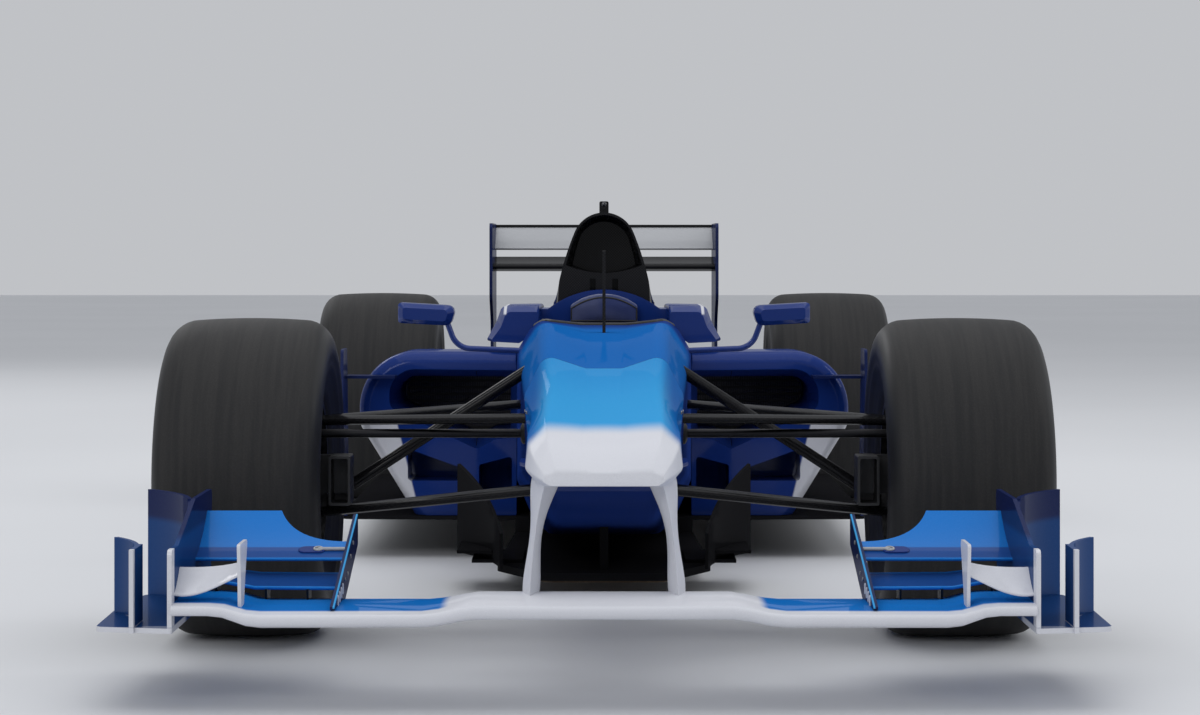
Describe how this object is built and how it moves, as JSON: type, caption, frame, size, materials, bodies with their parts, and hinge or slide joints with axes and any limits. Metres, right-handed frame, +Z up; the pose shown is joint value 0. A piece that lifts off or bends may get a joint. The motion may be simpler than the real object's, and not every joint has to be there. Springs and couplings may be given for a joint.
{
  "type": "open wheel racing car",
  "caption": "Single-seat open wheel racing car with slick tyres, a wide multi-element front wing, sidepods, a roll hoop air intake and a rear wing; wheels spin and the front ones steer.",
  "frame": {"origin": "on the ground under the middle of the car's length, on its centre plane", "axes": "+Z up, nose towards -Y, driver's left towards +X"},
  "size_m": [1.8, 4.8, 0.936],
  "materials": {
    "body_blue": "metallic blue gloss paint on carbon fibre",
    "wing_blue": "bright blue gloss paint on carbon fibre",
    "white": "pearl white gloss paint on carbon fibre",
    "carbon": "bare carbon fibre",
    "dark_metal": "black coated metal",
    "plank": "laminated skid board",
    "core": "dark cooler core",
    "cast_alloy": "machined light alloy",
    "pipe": "heat-tinted pipe",
    "lamp_red": "red lens",
    "pad": "dark padded cover",
    "mirror": "mirror glass",
    "tyre": "slick black rubber",
    "rim": "dark satin wheel",
    "hub": "axle and brake disc"
  },
  "bodies": {
    "chassis": {"antenna": "carbon", "bargeboards": "carbon", "camera_pod": "carbon", "cockpit_surround": "body_blue", "diffuser": "carbon", "engine_block": "cast_alloy", "engine_cover": "body_blue", "exhausts": "pipe", "floor": "carbon", "front_lower_wishbones": "carbon", "front_pushrods": "carbon", "front_upper_wishbones": "carbon", "front_wing_cascades": "white", "front_wing_endplates": "wing_blue", "front_wing_flaps": "wing_blue", "front_wing_main_plane": "white", "front_wing_strakes": "wing_blue", "gearbox": "cast_alloy", "head_pad": "pad", "mirror_glass": "mirror", "mirrors": "body_blue", "monocoque": "body_blue", "nose_cone": "body_blue", "pod_vanes": "wing_blue", "radiators": "core", "rain_light": "lamp_red", "rear_beam_wing": "carbon", "rear_crash_structure": "carbon", "rear_lower_wishbones": "carbon", "rear_upper_wishbones": "carbon", "rear_uprights": "cast_alloy", "rear_wing_endplates": "wing_blue", "rear_wing_flap": "white", "rear_wing_main_plane": "carbon", "roll_hoop": "carbon", "seat": "carbon", "sidepod_left": "body_blue", "sidepod_right": "body_blue", "skid_plank": "plank", "splitter_stay": "carbon", "steering_column": "dark_metal"},
    "knuckle_left": {"front_upright_left": "cast_alloy"},
    "knuckle_right": {"front_upright_right": "cast_alloy"},
    "rack": {"track_rods": "dark_metal"},
    "hand_wheel": {"steering_wheel": "dark_metal"},
    "wheel_front_left": {"tyre_front_left": "tyre", "rim_front_left": "rim", "hub_front_left": "hub"},
    "wheel_front_right": {"tyre_front_right": "tyre", "rim_front_right": "rim", "hub_front_right": "hub"},
    "wheel_rear_left": {"tyre_rear_left": "tyre", "rim_rear_left": "rim", "hub_rear_left": "hub"},
    "wheel_rear_right": {"tyre_rear_right": "tyre", "rim_rear_right": "rim", "hub_rear_right": "hub"}
  },
  "joints": [
    {"name": "steer_left", "type": "hinge", "parent": "chassis", "child": "knuckle_left", "pos_m": [0.61, -1.4, 0.33], "axis": [0, 0, 1], "range_deg": [-16, 16]},
    {"name": "steer_right", "type": "hinge", "parent": "chassis", "child": "knuckle_right", "pos_m": [-0.61, -1.4, 0.33], "axis": [0, 0, 1], "range_deg": [-16, 16]},
    {"name": "rack_slide", "type": "slide", "parent": "chassis", "child": "rack", "axis": [1, 0, 0], "range_m": [-0.0224, 0.0224]},
    {"name": "hand_wheel_turn", "type": "hinge", "parent": "chassis", "child": "hand_wheel", "pos_m": [0, -0.32, 0.56], "axis": [0, -0.9397, -0.342], "range_deg": [-161, 161]},
    {"name": "spin_front_left", "type": "hinge", "parent": "knuckle_left", "child": "wheel_front_left", "pos_m": [0.7325, -1.4, 0.33], "axis": [1, 0, 0], "continuous": true},
    {"name": "spin_front_right", "type": "hinge", "parent": "knuckle_right", "child": "wheel_front_right", "pos_m": [-0.7325, -1.4, 0.33], "axis": [1, 0, 0], "continuous": true},
    {"name": "spin_rear_left", "type": "hinge", "parent": "chassis", "child": "wheel_rear_left", "pos_m": [0.7125, 1.8, 0.33], "axis": [1, 0, 0], "continuous": true},
    {"name": "spin_rear_right", "type": "hinge", "parent": "chassis", "child": "wheel_rear_right", "pos_m": [-0.7125, 1.8, 0.33], "axis": [1, 0, 0], "continuous": true}
  ],
  "couplings": [
    {"joint": "steer_right", "follows": "steer_left", "ratio": 1},
    {"joint": "rack_slide", "follows": "steer_left", "m_per_rad": 0.08},
    {"joint": "hand_wheel_turn", "follows": "steer_left", "ratio": -10}
  ]
}
